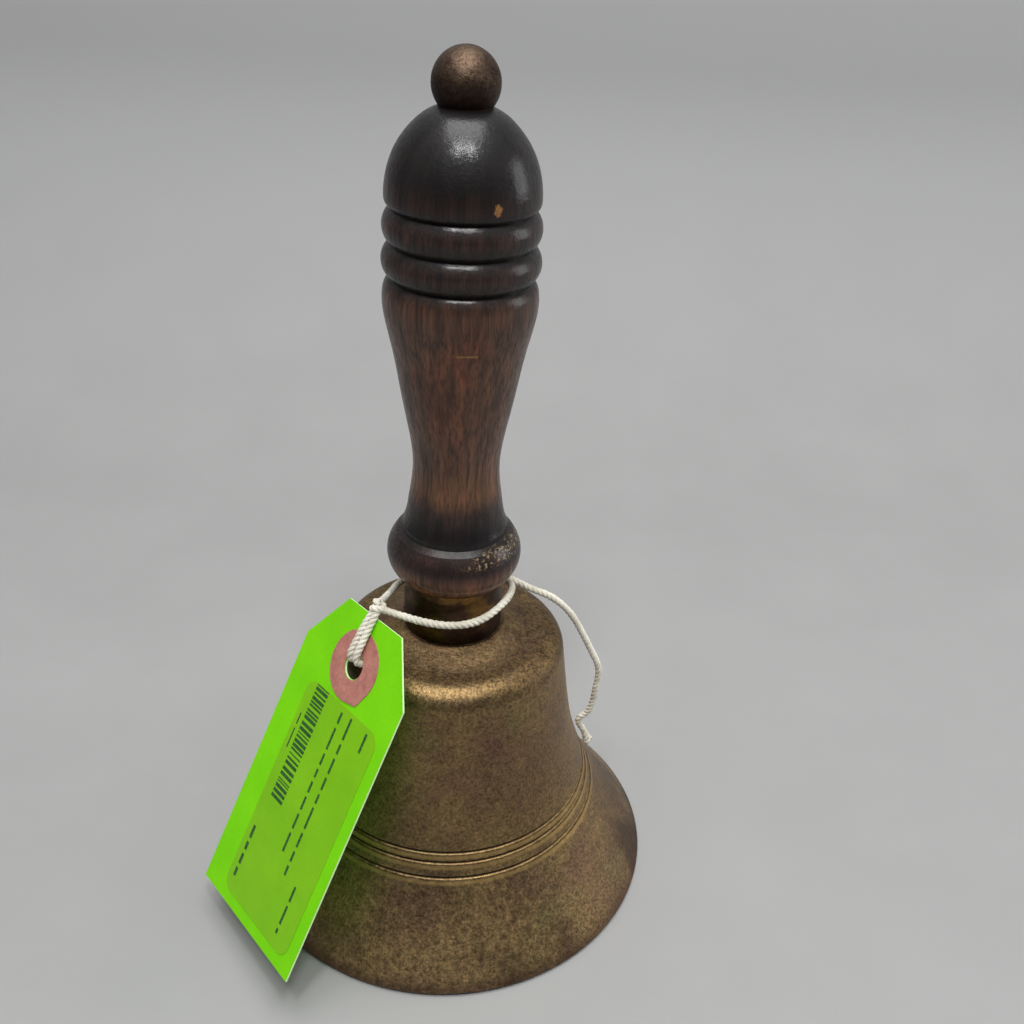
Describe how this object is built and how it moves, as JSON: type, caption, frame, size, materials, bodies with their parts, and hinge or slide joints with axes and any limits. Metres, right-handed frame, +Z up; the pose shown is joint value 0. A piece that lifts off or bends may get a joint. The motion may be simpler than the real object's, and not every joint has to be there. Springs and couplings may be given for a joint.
{
  "type": "hand bell",
  "caption": "Brass hand bell with flared mouth, turned wooden handle, ball finial, hanging clapper and a card tag on a cotton string.",
  "frame": {"origin": "centre of the bell's mouth, on the plane that the rim rests on", "axes": "+Z up the bell's axis towards the handle; the tag leans on the -X, -Y side; the string's tail hangs on the +X side"},
  "size_m": [0.1001, 0.099, 0.1778],
  "materials": {
    "aged_brass": "cast brass, aged brown with golden edges, fine sandy texture",
    "neck_brass": "turned brass, dark patina",
    "dark_wood": "turned hardwood, dark varnish",
    "finial_brass": "turned brass, brown patina",
    "steel": "zinc-plated steel, dulled",
    "clapper_metal": "turned brass, dulled",
    "cotton_string": "twisted natural cotton",
    "neon_card": "fluorescent green tag card",
    "fibre_patch": "pressed fibre reinforcement, pinkish brown",
    "printed_label": "thin translucent label, faint print"
  },
  "bodies": {
    "bell": {"bell_shell": "aged_brass", "neck_ferrule": "neck_brass", "handle": "dark_wood", "finial_ball": "finial_brass", "centre_rod": "steel", "crown_washer": "steel", "crown_nut": "steel"},
    "link": {"clapper_link": "steel"},
    "clapper": {"clapper_rod": "steel", "clapper_ball": "clapper_metal"},
    "string": {"neck_string": "cotton_string", "string_tail": "cotton_string", "neck_knot": "cotton_string", "back_knot": "cotton_string"},
    "tag": {"tag_loop": "cotton_string", "tag_card": "neon_card", "tag_patch_front": "fibre_patch", "tag_patch_back": "fibre_patch", "tag_label": "printed_label"}
  },
  "joints": [
    {"name": "link_swing", "type": "hinge", "parent": "bell", "child": "link", "pos_m": [0, 0, 0.0478], "axis": [1, 0, 0], "range_deg": [-38.5, 38.5]},
    {"name": "clapper_sway", "type": "hinge", "parent": "link", "child": "clapper", "pos_m": [0, 0, 0.0412], "axis": [0, 1, 0], "range_deg": [-10, 10]},
    {"name": "string_turn", "type": "hinge", "parent": "bell", "child": "string", "pos_m": [0, 0, 0.0705], "axis": [0, 0, 1], "continuous": true},
    {"name": "tag_swing", "type": "hinge", "parent": "string", "child": "tag", "pos_m": [-0.01487, -0.01174, 0.07389], "axis": [-0.5835, 0.8121, 0], "range_deg": [0, 60]}
  ]
}
